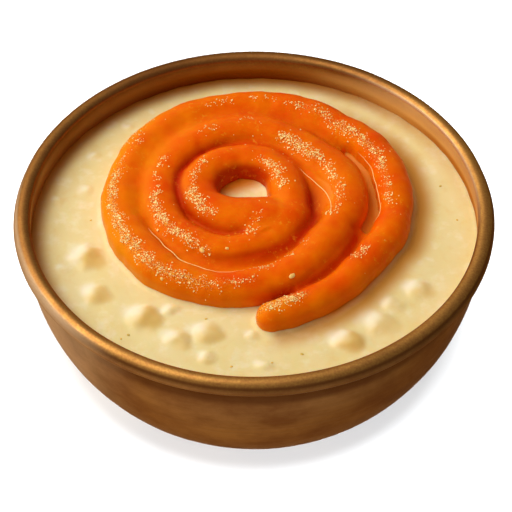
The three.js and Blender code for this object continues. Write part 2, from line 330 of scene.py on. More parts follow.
CAMERA_ELEVATION = math.radians(44.7)
CAMERA_DISTANCE = 560.0  # from the middle of the rim
RIM_LEVEL = 58.0
CAMERA_AIM = (0.58, 0.0, 35.7)
CAMERA_LENS = 126.0  # focal length


# ---- settings


def setting(kind, opening="", **fixed):
    """A short way to declare one kind of setting, whose descriptions open alike."""

    def declare(name, rest, default, **more):
        values = {"description": opening + rest, "default": default, **fixed, **more}
        return kind(name=name, **values)

    return declare


length = setting(FloatProperty, min=0.0, precision=5, unit="LENGTH")
share = setting(FloatProperty, min=0.0, max=1.0, subtype="FACTOR")
power = setting(FloatProperty, "Power of ", min=0.0, unit="POWER")
colour = setting(
    FloatVectorProperty, "Colour ", size=3, min=0.0, max=1.0, subtype="COLOR"
)


class BowlSettings(bpy.types.PropertyGroup):
    """Sizes and colours of the brass bowl."""

    wall: length("Wall", "Thickness of the brass wall", 0.002)
    unevenness: length("Unevenness", "How far the wall strays from round", 0.00012)
    brass: colour("Brass", "of the worn brass", (0.58, 0.27, 0.09))
    patina: colour("Patina", "of the darkened brass", (0.34, 0.13, 0.042))
    # painted sheen and highlight: the pale reflection on the left of the wall and the
    # bright lips of the rim
    haze: colour("Haze", "of the brass where it has dulled", (1.0, 0.72, 0.46))
    # painted shade: the dark lines and bands of the rim and the shaded stretches of the
    # wall
    soot: colour("Soot", "of the dark lines of the rim", (0.16, 0.05, 0.014))
    bead: colour("Bead", "of the polished rim", (0.52, 0.272, 0.068))
    inside: colour("Inside", "of the clean inner wall", (0.90, 0.58, 0.22))
    # painted shade on the inner wall at the back
    inner_shade_tint: colour("Dimmed", "of the browned inner wall", (0.30, 0.08, 0.003))
    roughness: share("Roughness", "Roughness of the metal", 0.36)


class CreamSettings(bpy.types.PropertyGroup):
    """Sizes and colours of the rabri."""

    level: length("Level", "Height of the cream in the bowl", 0.050)
    clots: share("Clots", "How far the clots swell out", 1.0, max=3.0)
    cream: colour("Cream", "of the cream", (0.875, 0.745, 0.37))
    # also the painted highlight on the clots' lit sides
    curd: colour("Curd", "of the clots' clean sides", (1.0, 0.92, 0.72))
    # also the painted shade on the clots' far sides
    whey: colour("Whey", "of the clots' other sides", (0.84, 0.59, 0.20))
    # painted warm shadow of the coil on the cream
    stain: colour("Stain", "beside the coil", (0.60, 0.275, 0.045))
    # painted shade and orange bounce light between the turns and in the hole
    soak: colour("Soak", "between the turns of the coil", (0.74, 0.22, 0.008))
    # painted shadow of the wall on the cream at the brim
    painted_light: colour("Dulled", "of the cream at the wall", (0.45, 0.16, 0.015))
    roughness: share("Roughness", "Roughness of the wet surface", 0.42)


class CoilSettings(bpy.types.PropertyGroup):
    """Sizes and colours of the jalebi."""

    flatness: share("Flatness", "Height of the strand over its width", 0.8)
    wobble: length("Wobble", "How far the strand's edge wanders", 0.00045)
    batter: colour("Batter", "of the fried batter", (0.84, 0.086, 0.0))
    glow: colour("Glow", "of well soaked batter", (0.90, 0.18, 0.0))
    # painted glow of light through the lit side, the front and the foot
    edge: colour("Edge", "of the coil's outer foot", (1.0, 0.335, 0.006))
    # painted shade in the folds between turns and between grains
    crease: colour("Crease", "deep between the turns", (0.50, 0.014, 0.0))
    # paler thin batter at a film's lip, partly a painted highlight
    thin: colour("Thin", "of a film at its lip", (1.0, 0.27, 0.03))
    frost: colour("Frost", "of sugar set in the skin", (0.90, 0.37, 0.02))
    dots: colour("Dots", "of the finest grains in the skin", (0.95, 0.66, 0.19))
    roughness: share("Roughness", "Roughness of the syrup coat", 0.42)


class SugarSettings(bpy.types.PropertyGroup):
    """Size, number and colour of what is scattered on the dish."""

    grain: length("Grain", "Size of a sugar grain", 0.00024)
    plenty: share("Plenty", "Share of the grains that are made", 1.15, max=5.0)
    seed: IntProperty(name="Seed", description="Seed of the scatter", default=7)
    # the pale tops that face up, as a painted highlight on the clear sugar
    sugar: colour("Sugar", "of the clear sugar grains", (0.98, 0.87, 0.42))
    amber: colour("Amber", "of the syrupy grains", (0.95, 0.58, 0.13))
    # pale as painted highlight lines
    syrup: colour("Syrup", "of the set threads of syrup", (1.0, 0.68, 0.28))
    flake: colour("Flake", "of the pale flakes", (1.0, 0.64, 0.20))
    olive: colour("Olive", "of the nut crumbs", (0.74, 0.52, 0.11))
    straw: colour("Straw", "of the saffron crumbs", (0.95, 0.62, 0.13))


class StageSettings(bpy.types.PropertyGroup):
    """Floor and light."""

    floor: colour("Floor", "of the floor", (0.88, 0.92, 0.96))
    key: power("Key", "the main light, on the dish", 7.9)
    key_tint: colour("Key Tint", "of the main light", (1.0, 0.95, 0.85))
    sweep: power("Sweep", "the floor's light from above", 28.0)
    front: power("Front", "the floor's light from the front", 23.0)
    fill: share("Fill", "Strength of the light all round", 0.34, max=5.0)
    fill_tilt: share("Fill Tilt", "How much stronger it is from the left", 0.6)
    fill_tint: colour("Fill Tint", "of the light all round", (1.0, 0.86, 0.68))


# ---- mesh tools


def add_piece(name, points, faces, material, smooth=True):
    """Makes a mesh object from millimetre points and lets it ride on the dish."""
    mesh = bpy.data.meshes.new(name)
    mesh.from_pydata((np.asarray(points, float) * MM).tolist(), [], faces)
    mesh.validate()
    mesh.materials.append(material)
    mesh.polygons.foreach_set("use_smooth", [smooth] * len(mesh.polygons))
    mesh.update()
    piece = bpy.data.objects.new(name, mesh)
    bpy.context.scene.collection.objects.link(piece)
    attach(piece, BODY)
    return piece


def give_attributes(piece, named):
    """Stores numbers for each point of a piece, for its material."""
    for name, values in named.items():
        attribute = piece.data.attributes.new(name, "FLOAT", "POINT")
        attribute.data.foreach_set("value", np.asarray(values, np.float32))


def level_rings(profile, sides):
    """Level rings of points, one for each radius and height of a profile."""
    angles = np.arange(sides) * (2 * math.pi / sides)
    rings = [
        np.stack([r * np.cos(angles), r * np.sin(angles), np.full(sides, z)], -1)
        for r, z in profile
    ]
    return np.concatenate(rings)


def rings_to_faces(rings, sides, first=0):
    """Quads between neighbouring rings of points, for rings that run outwards."""
    ring, side = np.meshgrid(np.arange(rings - 1), np.arange(sides), indexing="ij")
    after = (side + 1) % sides
    low, high = first + ring * sides, first + (ring + 1) * sides
    quads = np.stack([low + side, low + after, high + after, high + side], -1)
    return quads.reshape(-1, 4).tolist()


def closed_rings(rings, sides, bottom, top, first=0):
    """Quads between rings, and a fan to a middle point at either end."""
    faces = rings_to_faces(rings, sides, first)
    last = first + (rings - 1) * sides
    for side in range(sides):
        after = (side + 1) % sides
        faces.append([bottom, first + after, first + side])
        faces.append([top, last + side, last + after])
    return faces


def smooth_value(values, place):
    """A smooth curve through evenly spaced values, read at many places."""
    values = np.asarray(values, float)
    index = np.clip(np.floor(place).astype(int), 0, len(values) - 2)
    part = place - index
    first = 2 * values[0] - values[1]
    last = 2 * values[-1] - values[-2]
    padded = np.concatenate([[first], values, [last]])
    before, start, finish, after = (padded[index + step] for step in range(4))
    bend = 2 * before - 5 * start + 4 * finish - after
    twist = 3 * (start - finish) + after - before
    return start + 0.5 * part * (finish - before + part * (bend + part * twist))


def ramp(value, low, high):
    """0 below low and 1 above high, smooth in between; low may be the larger."""
    part = np.clip((value - low) / (high - low), 0.0, 1.0)
    return part * part * (3 - 2 * part)


def soft_least(a, b, blend):
    """The lesser of two distances, rounded where they are nearly the same."""
    near = np.clip(1 - np.abs(a - b) / blend, 0.0, 1.0)
    return np.minimum(a, b) - near * near * blend / 4


def rough_values(points, size, seed):
    """Smooth random values between about -1 and 1, one for each point."""
    shift = Vector((seed * 17.3, seed * 5.1, seed * 9.7))
    return np.array([noise.noise(Vector(p) / size + shift) for p in points])


def rough_layers(points, layers):
    """Random values in layers, each of a height, a wavelength and a seed."""
    return sum(height * rough_values(points, *wave) for height, *wave in layers)


def skin_of(name):
    """A piece's skin, in metres, for placing things on it."""
    depsgraph = bpy.context.evaluated_depsgraph_get()
    return BVHTree.FromObject(bpy.data.objects[name], depsgraph)


def drop_on(skin, x, y):
    """The place on a skin straight under x and y, in millimetres, and its normal."""
    above = Vector((x * MM, y * MM, CAD_BOX[1].z + 0.01))
    place, normal, _, _ = skin.ray_cast(above, Vector((0, 0, -1)))
    return (None, None) if place is None else (place / MM, normal)


# ---- bowl


def wall_points(inwards):
    """The wall's curve, as radius and height, moved inwards by a distance."""
    t = np.linspace(0, 1, WALL_POINTS)[:, None]
    a, b = np.array([(BASE_RADIUS, 0), (BASE_RADIUS + BASE_FLARE, 0)], float)
    c = np.array((NECK_RADIUS + BELLY_SWELL, NECK_HEIGHT - BELLY_DROP))
    d = np.array((NECK_RADIUS, NECK_HEIGHT))
    at = (1 - t) ** 3 * a + 3 * (1 - t) ** 2 * t * b + 3 * (1 - t) * t**2 * c + t**3 * d
    run = 3 * ((1 - t) ** 2 * (b - a) + 2 * (1 - t) * t * (c - b) + t**2 * (d - c))
    run /= np.linalg.norm(run, axis=1)[:, None]
    return at + inwards * np.stack([-run[:, 1], run[:, 0]], -1)


def rim_arc(oval):
    """The part of one of the rim's ovals that shows in its section."""
    inset, drop, half_width, half_height, first, last, steps = oval
    angles = np.radians(np.linspace(first, last, steps + 1))
    radii = RIM_REACH - inset + half_width * np.cos(angles)
    return np.stack([radii, BOWL_HEIGHT - drop + half_height * np.sin(angles)], -1)


def brass_marks(points, polish, inside, soot, outer_lip, inner_lip):
    """Where the brass is polished or clean, and how much painted sheen, highlight and
    shade lie on it, at each of its points.
    """
    bearing = np.degrees(np.arctan2(points[:, 1], points[:, 0])) % 360
    near = {
        name: strength * ramp(np.abs((bearing - middle + 180) % 360 - 180), none, full)
        for name, (middle, none, full, strength) in STRETCHES.items()
    }
    # Painted sheen and highlight: on the outer wall at the left, on the bead's outer
    # lip at the left and on its inner lip at the right
    haze = near["left wall"] * (1 - polish) + near["left lip"] * outer_lip
    haze += near["right lip"] * inner_lip
    # Painted shade: on the inner lip at the back and front, under the bead and ridge,
    # on the bead at the back, and on the outer wall at the front right
    unlit = np.maximum(near["back lip"], near["front lip"])
    soot = soot * (1 - haze) + unlit * inner_lip
    shade = (WALL_SHADE + near["right wall"]) * near["front wall"]
    soot = np.maximum(soot, shade * (1 - polish) * (1 - inside))
    up = points[:, 2] - NECK_HEIGHT
    return {
        "polish": polish,
        "inside": inside,
        "soot": np.maximum(soot, near["back bead"] * polish),
        "haze": haze,
        # painted shade that dims the bead's highlight on the left
        "left": near["left bead"],
        # Painted shade on the inner wall at the back, a painted highlight high on the
        # inner wall at the right, and painted shade low on it there
        "inner_shade": ramp(bearing, 40, 88) * ramp(bearing, 200, 100),
        "pale": near["inside neck"] * ramp(up, -1.0, 1.5),
        "low": near["inside wall"] * ramp(up, 0.5, -2.0),
    }


def make_bowl_piece(settings):
    """A turned bowl with a rolled rim, a little out of round as beaten brass is."""
    wall = settings.wall / MM
    outer, inner = wall_points(0.0), wall_points(wall)
    # Painted shade in the dark band under the ridge
    under_ridge_shade = 0.8 * ramp(NECK_HEIGHT - outer[:, 1], *UNDER_RIDGE)
    turn = np.linspace(BEAD[4], BEAD[5], BEAD[6] + 1)
    # painted shade on the lower outer side of the bead, under its curve
    bead_underside_shade = 0.85 * ramp(turn, 38.0, 8.0)
    lips = (ramp(turn, 62.0, 22.0), ramp(turn, 128.0, 160.0))
    # Stretches of the section: points, polish, inside, painted shade, outer lip and
    # inner lip
    section = [
        ([(BASE_RADIUS * part, 0.0) for part in FLOOR_RINGS[::-1]], 0, 0, 0, 0, 0),
        (outer, 0, 0, under_ridge_shade, 0, 0),
        (rim_arc(RIDGE), 0.5, 0, 0, 0, 0),
        (rim_arc(BEAD), 1, 0, bead_underside_shade, *lips),
        (inner[::-1], 0, 1, 0, 0, 0),
        ([(inner[0][0] * part, wall) for part in FLOOR_RINGS], 0, 1, 0, 0, 0),
    ]
    profile = np.concatenate([stretch[0] for stretch in section])
    points = level_rings(profile, BOWL_SEGMENTS)
    stray = rough_values(points, STRAY_WAVE, 1) * settings.unevenness / MM
    lift = np.clip(points[:, 2] / STRAY_FROM, 0.0, 1.0)
    points[:, :2] *= (1 + stray * lift / RIM_REACH)[:, None]
    points = np.concatenate([points, [(0, 0, 0), (0, 0, wall)]])
    faces = closed_rings(len(profile), BOWL_SEGMENTS, len(points) - 2, len(points) - 1)
    piece = add_piece("brass_bowl", points, faces, brass_material(settings))
    marks = []
    for column in range(1, len(section[0])):
        parts = [np.broadcast_to(part[column], len(part[0])) for part in section]
        values = np.repeat(np.concatenate(parts), BOWL_SEGMENTS)
        marks.append(np.append(values, [0, values[-1]]))
    give_attributes(piece, brass_marks(points, *marks))
    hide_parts("bowl")


# ---- cream


def clot_relief(places):
    """Height of the cream's clots over its level, and how much each place belongs to a
    clot's painted highlight on its lit side and to the painted shade on its other side."""
    x, y = places[:, 0].copy(), places[:, 1].copy()
    for wave, stray in CLOT_STRAY:
        x += stray * rough_values(places, wave, 21)
        y += stray * rough_values(places, wave, 22)
    relief, clean, other = np.zeros((3, len(x)))
    for clot_x, clot_y, radius, height in CLOTS:
        off_x, off_y = (x - clot_x) / radius, (y - clot_y) / radius
        facing = off_x * CLOT_FACING[0] + off_y * CLOT_FACING[1]
        out = np.hypot(off_x, off_y)
        swell = height * np.clip(1.1 - out**2, 0, 1.1) ** 1.6 * (1 + 0.35 * facing)
        # clean marks the painted highlight on the side facing the light, other the
        # painted shade on the far side
        for marks, shift, reach, core, strength in (
            (clean, 0.72, 0.95, 0.2, min(0.55 + height / 2.2, 1.0)),
            (other, -0.2, 1.05, 0.4, 0.2 + 0.8 * ramp(height, 0.5, 1.7)),
        ):
            aside = (off_x - shift * CLOT_FACING[0], off_y - shift * CLOT_FACING[1])
            np.maximum(marks, ramp(np.hypot(*aside), reach, core) * strength, out=marks)
        relief = np.maximum(relief, swell)
    return relief, clean, other * (1 - 0.8 * clean)


def make_cream_piece(settings):
    """Thick cream with clots, from the bowl's inside up to its level."""
    level = settings.level / MM
    inside = wall_points(bpy.context.scene.dish_bowl.wall / MM - CREAM_BITE)
    heights = inside[:, 1]
    above = int(np.argmax(heights > level))
    part = (level - heights[above - 1]) / (heights[above] - heights[above - 1])
    brim = (inside[above - 1] + part * (inside[above] - inside[above - 1]))[0]
    under = level_rings([*inside[:above:3], (brim, level - BRIM_DROP)], CREAM_SEGMENTS)
    covered = np.linspace(COIL_FOOT, 0.8, SUNKEN_RINGS)[1:]
    radii = np.append(np.linspace(brim, COIL_FOOT, OPEN_RINGS), covered)
    surface = level_rings([(radius, level) for radius in radii], CREAM_SEGMENTS)
    x, y = surface[:, 0], surface[:, 1]
    relief, clean, other = clot_relief(surface)
    strand = Strand()
    edges, sides, turnings = [], [], []
    for found, gap, _ in nearest_turns(strand, x, y):
        station = found.astype(int)
        off_x, off_y = x - strand.x[station], y - strand.y[station]
        side = off_x * COIL_SHADOW_SIDE[0] + off_y * COIL_SHADOW_SIDE[1]
        sides.append(side / np.maximum(gap, 0.1))
        edges.append(np.maximum(gap - strand.half_width[station], 0.05))
        turnings.append(strand.turning[station])
    gap, across = edges[0], edges[0] + edges[1]
    away = (sides[0] * edges[1] + sides[1] * edges[0]) / across
    hemmed = ramp(across, 18.0, 10.0) * ramp(np.maximum(*turnings), 370.0, 380.0)
    in_hole = ramp(np.hypot(x - HOLE[0], y - HOLE[1]), *HOLE_REACH)
    reach = np.hypot(x, y)
    cling = CLING * ramp(reach, brim - CLING_REACH, brim)
    cling *= 1 + rough_values(surface, 6.0, 4)
    climb = MENISCUS * ramp(gap, MENISCUS_REACH, 0.0)
    swell = rough_layers(surface, SWELLS)
    surface[:, 2] += relief * settings.clots + swell + cling + climb
    points = np.concatenate([under, surface, [(0, 0, heights[0])], [(0, 0, level)]])
    rings = (len(points) - 2) // CREAM_SEGMENTS
    faces = closed_rings(rings, CREAM_SEGMENTS, len(points) - 2, len(points) - 1)
    piece = add_piece("rabri_cream", points, faces, cream_material(settings))
    # Painted shadow of the wall on the cream, strongest at the back left
    wall_shadow_facing = (x * WALL_SHADOW_SIDE[0] + y * WALL_SHADOW_SIDE[1]) / np.maximum(reach, 1.0)
    beside = (1 - hemmed) * (1 - in_hole) * (1 - 0.5 * ramp(gap, 1.4, 0.0))
    # Painted shade and orange bounce light in the gaps between turns, strongest on the
    # side away from the light
    wet = np.maximum(ramp(away, -0.8, 0.1), 0.85 * ramp(across, 9.0, 7.0))
    wet = 1.2 * hemmed * ramp(gap, 11.0, 2.0) * wet
    shown = {
        # painted highlight and painted shade of the clots
        "curd": clean,
        "whey": other,
        # painted shadow of the coil, on its side away from the light
        "stain": ramp(gap, COIL_SHADOW_REACH, 2.5) * ramp(away, 0.0, 0.9) * beside,
        # painted shade in the gaps and in the hole's back left
        "soak": wet * (1 - in_hole) + in_hole * ramp(0.5 * x - y, *HOLE_SHADED),
        # painted shadow of the wall at the brim
        "wall_shadow": ramp(reach, brim - 7.0, brim - 0.3) * ramp(wall_shadow_facing, -1.0, 0.5),
    }
    for name, values in shown.items():
        shown[name] = np.concatenate([np.zeros(len(under)), values, [0, 0]])
    give_attributes(piece, shown)
    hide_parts("rabri")


# ---- coil


def bearing_point(turning, reach):
    """x and y at some reach from the coil's centre, after some turning."""
    bearing = np.radians(FRONT + turning)
    x, y = COIL_CENTRE
    return x + reach * np.cos(bearing), y + reach * np.sin(bearing)


class Strand:
    """The strand's middle line: places, outward direction and half width along it."""

    def __init__(self):
        settings = bpy.context.scene.dish_coil
        wobble = settings.wobble / MM
        fine = np.arange(TAIL_START, CURL_FINISH, 0.1)
        x, y = bearing_point(fine, smooth_value(TURNS, fine / TURN_STEP))
        run = np.concatenate([[0], np.cumsum(np.hypot(np.diff(x), np.diff(y)))])
        self.run = np.arange(0, run[-1], CENTRE_STEP)
        self.turning = np.interp(self.run, run, fine)
        reach = smooth_value(TURNS, self.turning / TURN_STEP)
        x, y = bearing_point(self.turning, reach)
        along = np.stack([np.gradient(x), np.gradient(y)], -1)
        along /= np.linalg.norm(along, axis=1)[:, None]
        self.outward = np.stack([along[:, 1], -along[:, 0]], -1)
        sway = wobble * self.waver((13.0, 6.5), 1)
        self.x = x + sway * self.outward[:, 0]
        self.y = y + sway * self.outward[:, 1]
        self.half_width = smooth_value(HALF_WIDTHS, self.turning / WIDTH_STEP)
        self.half_width += wobble * self.waver((17.0, 8.0, 4.5), 2)
        self.half_height = settings.flatness * np.minimum(self.half_width, TALLEST)

    def waver(self, wavelengths, seed):
        """Random values along the strand, the longest wave the strongest."""
        total = np.zeros(len(self.run))
        for order, wave in enumerate(wavelengths):
            line = [(s, 31.0 * seed, 7.0 * order) for s in self.run]
            total += 1.5 * rough_values(line, wave, seed + order) / (1 + 0.6 * order)
        return total

    def place(self, turning, out_part):
        """x and y on the strand, some part of its half width out from its middle."""
        i = int(np.argmin(np.abs(self.turning - turning)))
        out = self.outward[i] * out_part * self.half_width[i]
        return self.x[i] + out[0], self.y[i] + out[1]


def nearest_turns(strand, x, y):
    """For each place, the nearest station and the nearest one of another turn. Of
    each: its number, how far off it is, and how far outwards of it the place is."""
    first, second = np.empty((2, len(x), 3))
    for start in range(0, len(x), COLUMNS_AT_ONCE):
        part = slice(start, start + COLUMNS_AT_ONCE)
        off_x, off_y = x[part, None] - strand.x, y[part, None] - strand.y
        gap = np.hypot(off_x, off_y)
        rows = np.arange(gap.shape[0])
        for found in (first, second):
            near = gap.argmin(1)
            out_x = off_x[rows, near] * strand.outward[near, 0]
            out_y = off_y[rows, near] * strand.outward[near, 1]
            found[part] = np.stack([near, gap[rows, near], out_x + out_y], -1)
            turned = np.abs(strand.turning - strand.turning[near][:, None])
            gap[turned < NEXT_TURN] = np.inf
    return first.T, second.T


def oval_distance(across, up, half_width, half_height):
    """About how far a point is outside an oval; below 0 inside it."""
    scaled = np.sqrt((across / half_width) ** 2 + (up / half_height) ** 2)
    slope = np.sqrt((across / half_width**2) ** 2 + (up / half_height**2) ** 2)
    return scaled * (scaled - 1) / np.maximum(slope, 1e-6)


def film_shape(turning, past_inner):
    """Height of a film's top at some distance past the inner turn's edge, how strongly
    it rises there to a thin lip, and how strong the painted deep red shade is in its
    fold."""
    table = np.array(FILMS).T
    beside, at_lip, lip, red = (np.interp(turning, table[0], row) for row in table[1:])
    part = past_inner / lip
    height = beside + (at_lip - beside) * ramp(part, 0.0, 1.0)
    thin = ramp(at_lip - beside, 1.2, 2.8) * ramp(part, 0.72, 1.0) * (part < 1.06)
    return height, thin, red * (1 - 0.45 * ramp(part, 0.1, 0.9))


def between_turns(strand, nearest):
    """For places between two turns: turning of the inner one, how far past its edge,
    how far short of the outer one's edge, and whether the turns are neighbours."""
    (first, _, first_out), (second, _, second_out) = nearest
    first, second = first.astype(int), second.astype(int)
    first_width, second_width = strand.half_width[first], strand.half_width[second]
    turned = strand.turning[first] - strand.turning[second]
    first_inner = turned > 0
    past_inner = np.where(
        first_inner, first_out - first_width, second_out - second_width
    )
    short_of_outer = np.where(
        first_inner, -second_out - second_width, -first_out - first_width
    )
    inner = np.maximum(strand.turning[first], strand.turning[second])
    neighbours = np.abs(np.abs(turned) - FULL_TURN) < TURN_SLACK
    return inner, past_inner, short_of_outer, neighbours


def coil_field(strand, nearest, x, y, up):
    """Distance from the coil's skin: below 0 inside. up is over the cream's level."""
    rise = np.maximum(up - STRAND_RISE, 0.0)
    ovals = []
    for station, gap, _ in nearest:
        station = station.astype(int)
        width, height = strand.half_width[station], strand.half_height[station]
        ovals.append(oval_distance(gap, rise, width, height))
    coil = soft_least(*ovals, TURN_BLEND)
    inner, past_inner, short_of_outer, neighbours = between_turns(strand, nearest)
    height = film_shape(inner, past_inner)[0]
    film = np.maximum(up - height, -np.minimum(past_inner, short_of_outer) - FILM_GRIP)
    coil = soft_least(coil, np.where(neighbours, film, NO_FILM), FILM_BLEND)
    for middle_x, middle_y, radius, top in FILLINGS:
        off = np.hypot(x - middle_x, y - middle_y)
        filling = oval_distance(off, np.maximum(up, 0), radius, top)
        coil = soft_least(coil, filling, FILLING_BLEND)
    return np.maximum(coil, -FOOT_DEPTH - up)


def edge_ends(grid, axis):
    """A grid's values at both ends of all its edges along one axis."""
    last = grid.shape[axis] - 1
    return grid.take(range(last), axis), grid.take(range(1, last + 1), axis)


def net_surface(field):
    """Points, in cells, and quads of a field's skin: one point for each cell that
    the skin crosses, at the mean of where it crosses the cell's edges."""
    cells = tuple(n - 1 for n in field.shape)
    total, count = np.zeros(cells + (3,)), np.zeros(cells)
    for axis in range(3):
        others = ((axis + 1) % 3, (axis + 2) % 3)
        a, b = edge_ends(field, axis)
        cross = (a < 0) != (b < 0)
        along = np.where(cross, a / np.where(cross, a - b, 1.0), 0.0)
        for step in np.ndindex(2, 2):
            window = [slice(None)] * 3
            for other, offset in zip(others, step):
                window[other] = slice(offset, offset + cells[other])
            hit = cross[tuple(window)]
            count += hit
            total[..., axis] += np.where(hit, along[tuple(window)], 0.0)
            for other, offset in zip(others, step):
                total[..., other] += hit * offset
    crossed = count > 0
    number = np.full(cells, -1)
    number[crossed] = np.arange(crossed.sum())
    points = np.argwhere(crossed) + total[crossed] / count[crossed][:, None]
    quads = []
    for axis in range(3):
        a, b = edge_ends(field < 0, axis)
        edges = np.argwhere(a != b)
        corners = []
        for back in ((1, 1), (0, 1), (0, 0), (1, 0)):
            cell = edges.copy()
            cell[:, [(axis + 1) % 3, (axis + 2) % 3]] -= back
            corners.append(number[tuple(cell.T)])
        face = np.stack(corners, -1)
        inwards = ~a[tuple(edges.T)]
        face[inwards] = face[inwards][:, ::-1]
        quads.append(face)
    return points, np.concatenate(quads)


def grid_value(field, points):
    """A gridded field read between its points, with its slope."""
    base = np.clip(np.floor(points).astype(int), 0, np.array(field.shape) - 2)
    part = points - base
    value, slope = np.zeros(len(points)), np.zeros_like(points)
    for corner in np.ndindex(2, 2, 2):
        weight = [part[:, k] if corner[k] else 1 - part[:, k] for k in range(3)]
        sample = field[tuple((base + corner).T)]
        value += sample * weight[0] * weight[1] * weight[2]
        for k in range(3):
            others = [weight[m] for m in range(3) if m != k]
            slope[:, k] += (1 if corner[k] else -1) * sample * others[0] * others[1]
    return value, slope


def settle_on_skin(field, points):
    """Moves points along the field's slope until they lie on its skin."""
    for _ in range(3):
        value, slope = grid_value(field, points)
        size = np.maximum((slope**2).sum(1), 1e-9)
        points = points - np.clip(value / size, -0.5, 0.5)[:, None] * slope
    return points


def mean_of_neighbours(points, quads, rounds):
    """Evens out points by moving each halfway to the mean of its neighbours."""
    start, end = np.concatenate([quads[:, [k, (k + 1) % 4]] for k in range(4)]).T
    number = np.bincount(start, minlength=len(points))[:, None]
    for _ in range(rounds):
        total = [np.bincount(start, column[end], len(points)) for column in points.T]
        points = points + 0.5 * (np.stack(total, -1) / np.maximum(number, 1) - points)
    return points


def skin_normals(points, quads):
    """Outward direction at each point."""
    a, b, c, d = (points[quads[:, k]] for k in range(4))
    face = np.cross(c - a, d - b)
    normal = np.zeros_like(points)
    for k in range(4):
        np.add.at(normal, quads[:, k], face)
    return normal / np.maximum(np.linalg.norm(normal, axis=1), 1e-12)[:, None]


def sugar_amount(turning, out_part):
    """How thickly sugar has set at a part of the strand, from 0 to 1."""
    amount = np.zeros(len(turning))
    for start, finish, middle, spread, grains in SUGAR_BANDS:
        crowd = min(grains / (finish - start) / 8.0, 1.0)
        reach = ramp(turning, start - 4.0, start + 2.0)
        reach *= ramp(turning, finish + 4.0, finish - 2.0)
        near = np.exp(-(((out_part - middle) / (1.5 * spread)) ** 2))
        amount = np.maximum(amount, crowd * reach * near)
    return amount


def coil_mesh(strand):
    """Points, over the cream's level, and quads of the coil's smooth skin."""
    reach = strand.half_width.max() + COIL_MARGIN
    low = np.array([strand.x.min() - reach, strand.y.min() - reach, FIELD_LOW])
    high = (strand.x.max() + reach, strand.y.max() + reach, FIELD_HIGH)
    axes = [np.arange(a, b, COIL_PITCH) for a, b in zip(low, high)]
    x, y = (part.ravel() for part in np.meshgrid(axes[0], axes[1], indexing="ij"))
    columns = [part[:, :, None] for part in nearest_turns(strand, x, y)]
    field = coil_field(strand, columns, x[:, None], y[:, None], axes[2][None, :])
    field = field.reshape([len(axis) for axis in axes])
    points, quads = net_surface(field)
    points = mean_of_neighbours(settle_on_skin(field, points), quads, 2)
    return settle_on_skin(field, points) * COIL_PITCH + low, quads


def coil_marks(strand, near, far, up, forward):
    """How much painted shade lies in the folds between turns, how much painted amber
    glow lies on the lit side, the front and the foot, and how thin the coil's skin is
    at a film's lip (partly a painted highlight), at places with these nearest stations,
    heights and forward parts of the normal."""
    station = near[0].astype(int)
    turning, out_part = strand.turning[station], near[2] / strand.half_width[station]
    depth = STRAND_RISE + strand.half_height[station] - up
    beside = ramp(far[1] - strand.half_width[far[0].astype(int)], 4.0, 0.5)
    inner, past_inner, short_of_outer, neighbours = between_turns(strand, (near, far))
    # thin: a film's lip, paler as thin batter and partly as a painted highlight
    _, thin, red = film_shape(inner, past_inner)
    thin = thin * neighbours * (past_inner > -1.0)
    middle = np.clip((past_inner + short_of_outer) / 2, -1.0, 1.2)
    middle = np.where(short_of_outer + past_inner > 4.0, -0.3, middle)
    off_line = past_inner - middle
    line = np.exp(-((off_line / np.where(off_line > 0, *CREASE_SPREADS)) ** 2))
    line *= red * neighbours * ramp(depth, 0.3, 1.8) * ramp(short_of_outer, 12.0, 9.0)
    # Painted shade: deep red in the folds between turns, along the line between them,
    # and on the hole's inner side
    crease = np.maximum(beside * ramp(depth, 1.6, 5.4) * 0.8, line) * (1 - thin)
    round_hole = ramp(turning, *ROUND_HOLE[0]) * ramp(turning, *ROUND_HOLE[1])
    hollow = ramp(out_part, -0.15, -0.9) * round_hole * ramp(depth, 0.6, 2.6)
    crease = np.maximum(crease, 0.85 * hollow)
    # Painted amber glow: on the lit side of the outer turn and the inner turns, at the
    # tail's tip, at the foot and on flanks facing the front
    facing = strand.outward[station] @ np.array(LIT_GLOW_SIDE)
    first_turn = ramp(turning, 400, 340)
    amber = ramp(out_part, -0.2, 0.9) * ramp(facing, 0.45, 0.85) * first_turn
    amber = np.maximum(amber, 0.2 * ramp(facing, 0.0, 0.7) * first_turn)
    amber += 0.45 * ramp(out_part * facing, 0.0, 0.9) * (1 - first_turn)
    amber = np.maximum(amber, ramp(turning, 16, 8) * ramp(out_part, 0.9, -0.4))
    foot = ramp(depth, 1.8, 4.8) * (1 - beside)
    amber = np.maximum(amber, foot * (0.5 + 0.5 * ramp(facing, 0.3, 0.8)))
    return crease, np.maximum(amber, 0.35 * ramp(forward, 0.2, 0.75)), thin


def make_coil_piece(settings):
    """The jalebi: its turns, the films between them and its crinkled skin."""
    strand = Strand()
    points, quads = coil_mesh(strand)
    normals = skin_normals(points, quads)
    near, far = nearest_turns(strand, points[:, 0], points[:, 1])
    station = near[0].astype(int)
    out_part = near[2] / strand.half_width[station]
    sugar = sugar_amount(strand.turning[station], out_part)
    crinkle = CRINKLE[0] * sugar * rough_values(points, *CRINKLE[1:])
    points += (rough_layers(points, LUMPS) + crinkle)[:, None] * normals
    crease, amber, thin = coil_marks(strand, near, far, points[:, 2], -normals[:, 1])
    points[:, 2] += bpy.context.scene.dish_cream.level / MM
    material = batter_material(settings)
    piece = add_piece("jalebi_coil", points, quads.tolist(), material)
    # painted shade of the folds, sugar, and the painted glow
    shades = mean_of_neighbours(np.stack([crease, sugar, amber], -1), quads, 5)
    give_attributes(piece, dict(zip(("crease", "sugar", "rim"), shades.T), thin=thin))
    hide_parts("jalebi")


# ---- sugar and crumbs

